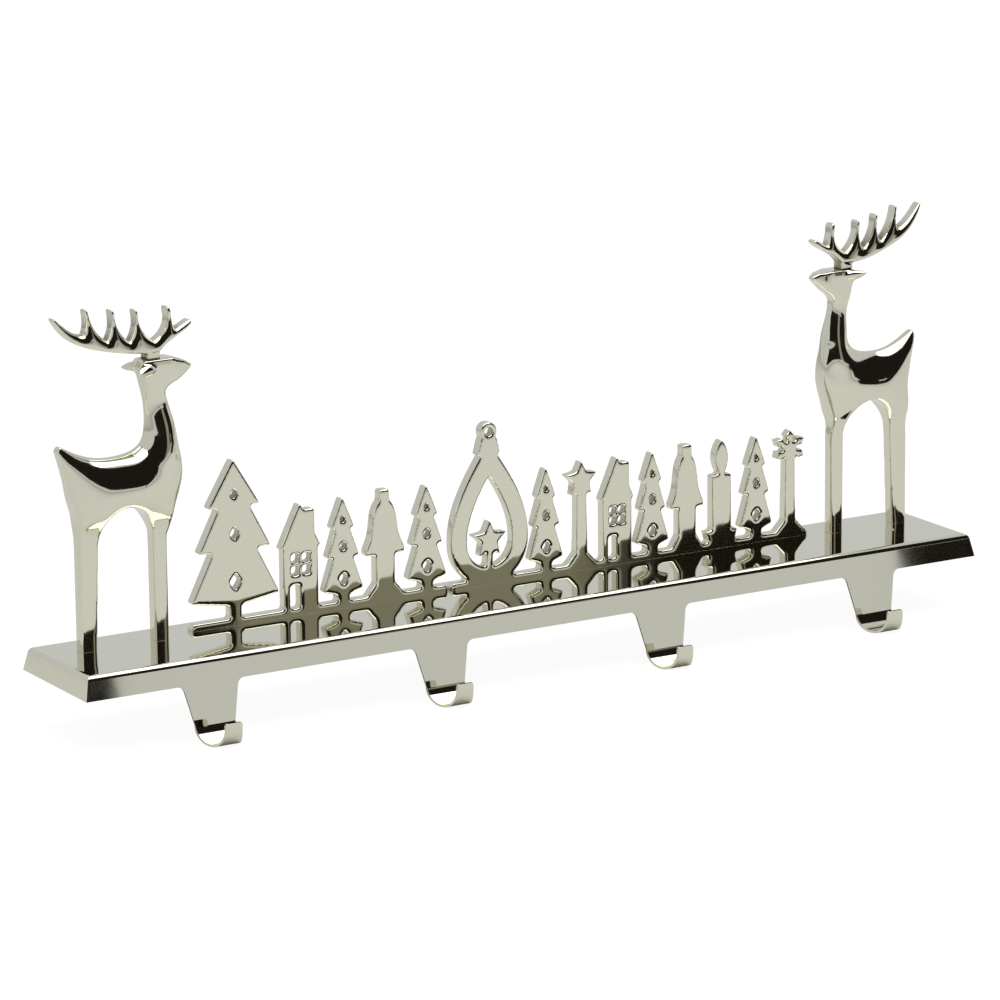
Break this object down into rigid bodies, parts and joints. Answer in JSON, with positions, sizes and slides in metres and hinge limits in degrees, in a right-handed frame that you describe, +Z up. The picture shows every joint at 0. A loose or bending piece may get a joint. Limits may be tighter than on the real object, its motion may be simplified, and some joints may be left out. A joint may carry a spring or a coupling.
{
  "type": "mantel stocking holder",
  "caption": "Folded metal tray that stands on a mantel, with curled hooks along its front for hanging stockings and cast reindeer and a cut-out frieze on top.",
  "frame": {"origin": "middle of the tray's footprint, on the mantel top that the feet stand on", "axes": "+X along the tray, +Z up, -Y towards the front edge with the hooks"},
  "size_m": [0.525, 0.0945, 0.2133],
  "materials": {
    "sheet_finish": "mirror-polished nickel plate on folded sheet steel",
    "casting_finish": "mirror-polished nickel plate on cast metal, edges softened by polishing",
    "screw_steel": "bright zinc-plated steel",
    "foot_rubber": "matte black rubber"
  },
  "bodies": {
    "root": {"base_tray": "sheet_finish", "reindeer_left": "casting_finish", "reindeer_right": "casting_finish", "antlers_left": "casting_finish", "antlers_right": "casting_finish", "frieze_left": "casting_finish", "frieze_right": "casting_finish", "figure_screws": "screw_steel", "frieze_screws": "screw_steel", "foot_front_left": "foot_rubber", "foot_front_right": "foot_rubber", "foot_back_left": "foot_rubber", "foot_back_right": "foot_rubber", "foot_centre": "foot_rubber"}
  },
  "joints": []
}
